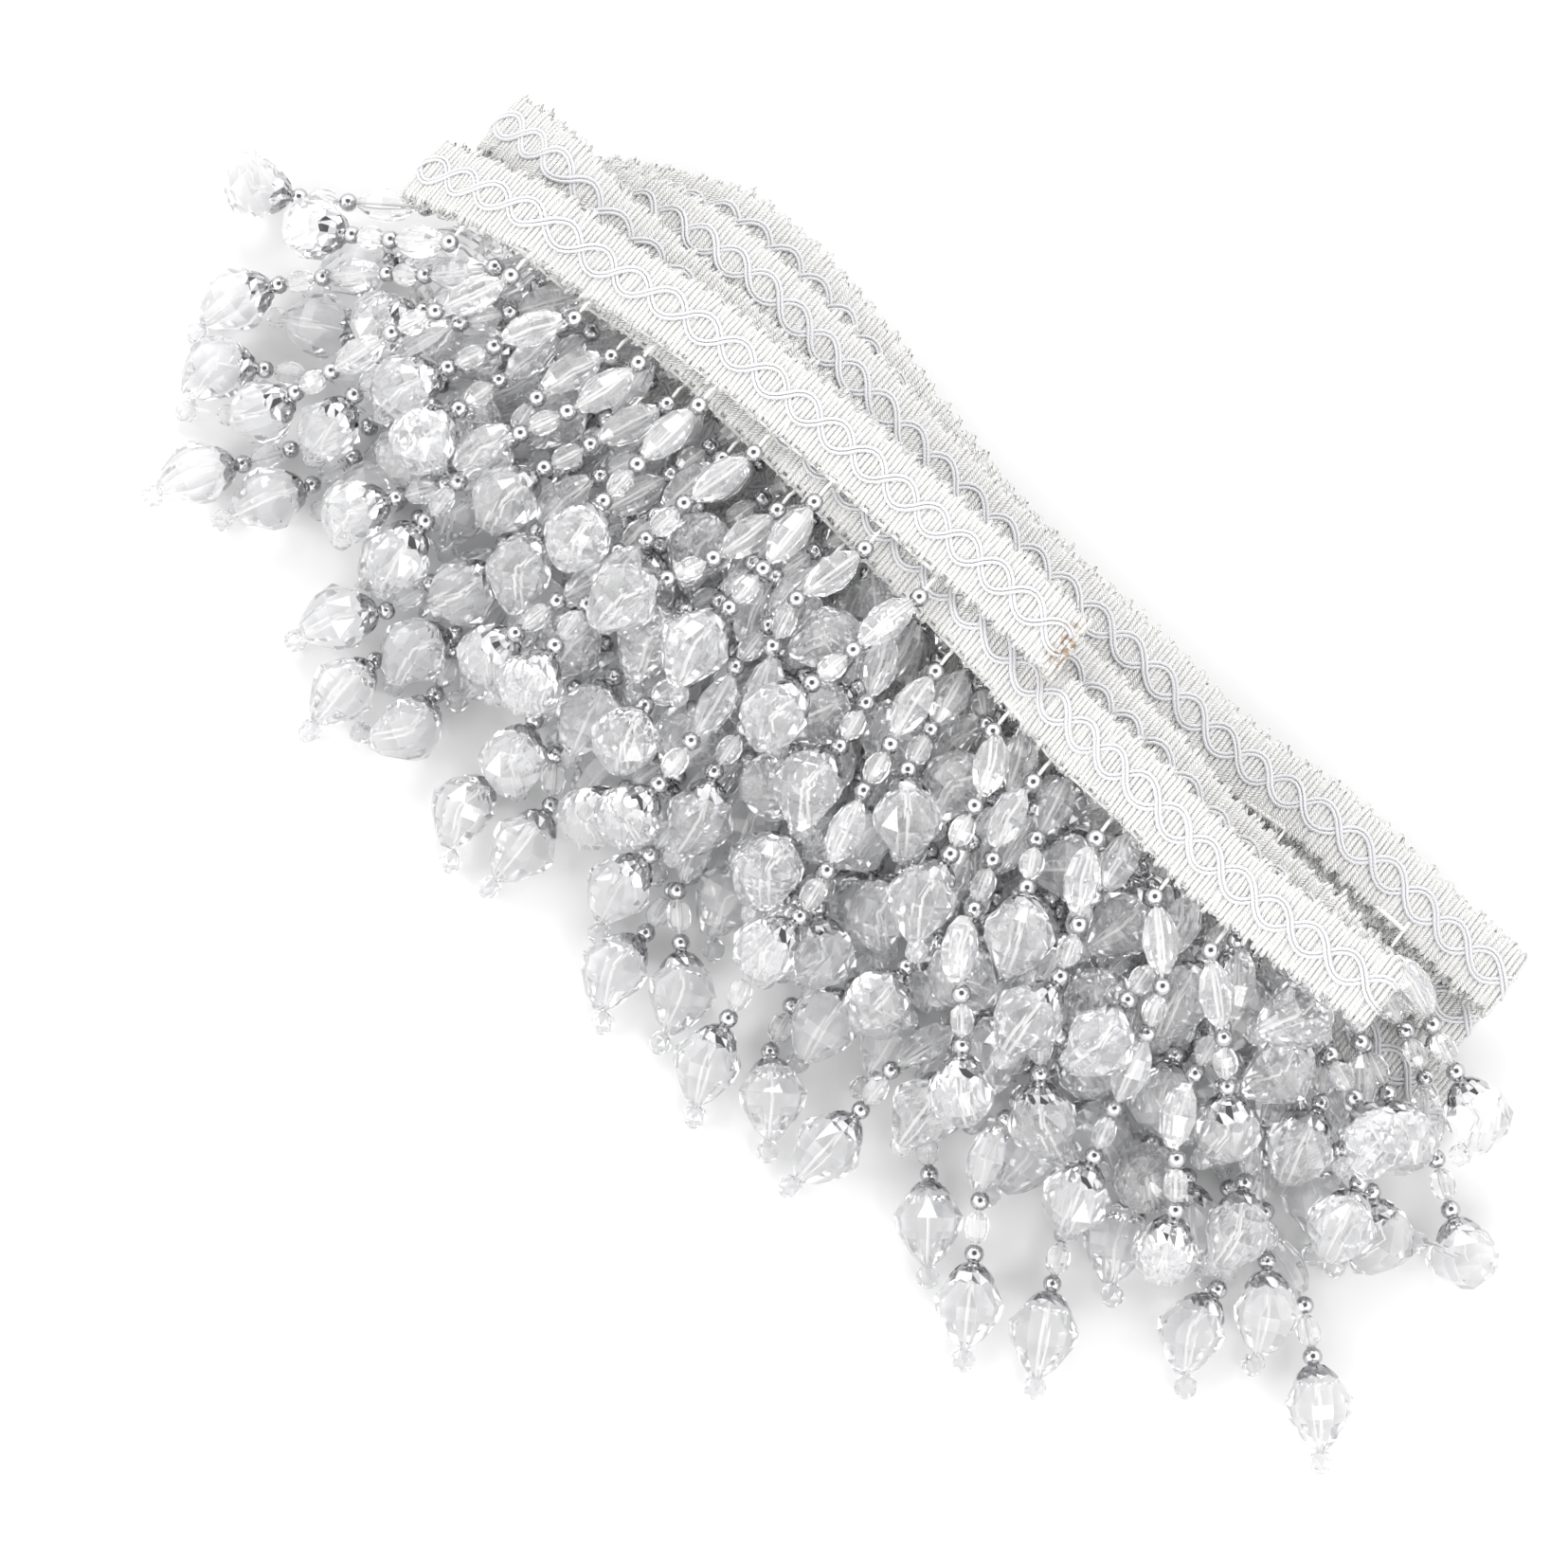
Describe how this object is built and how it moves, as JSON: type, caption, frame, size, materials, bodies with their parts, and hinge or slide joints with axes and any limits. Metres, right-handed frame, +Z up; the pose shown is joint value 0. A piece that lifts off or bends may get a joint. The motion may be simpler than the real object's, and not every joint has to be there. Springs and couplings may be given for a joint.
{
  "type": "beaded fringe trim",
  "caption": "Beaded fringe trim on a white gimp braid with clear faceted drops and small metal balls, folded back and forth into a flat bundle.",
  "frame": {"origin": "middle of the bundle's footprint, on the surface that it lies on", "axes": "+X along the braid, -Y the way the bead strands lie, +Z up from the surface"},
  "size_m": [0.274, 0.1346, 0.0442],
  "materials": {
    "braid": "matt off-white yarn with silvery satin cords",
    "beads": "clear polished acrylic with small bright metal-coated balls"
  },
  "bodies": {
    "root": {"braid": "braid", "fringe_hidden": "beads", "fringe_bottom": "beads", "fringe_lower": "beads", "fringe_under": "beads", "fringe_middle": "beads", "fringe_rear": "beads", "fringe_back": "beads", "fringe_inner": "beads", "fringe_front": "beads", "fringe_top": "beads"}
  },
  "joints": []
}
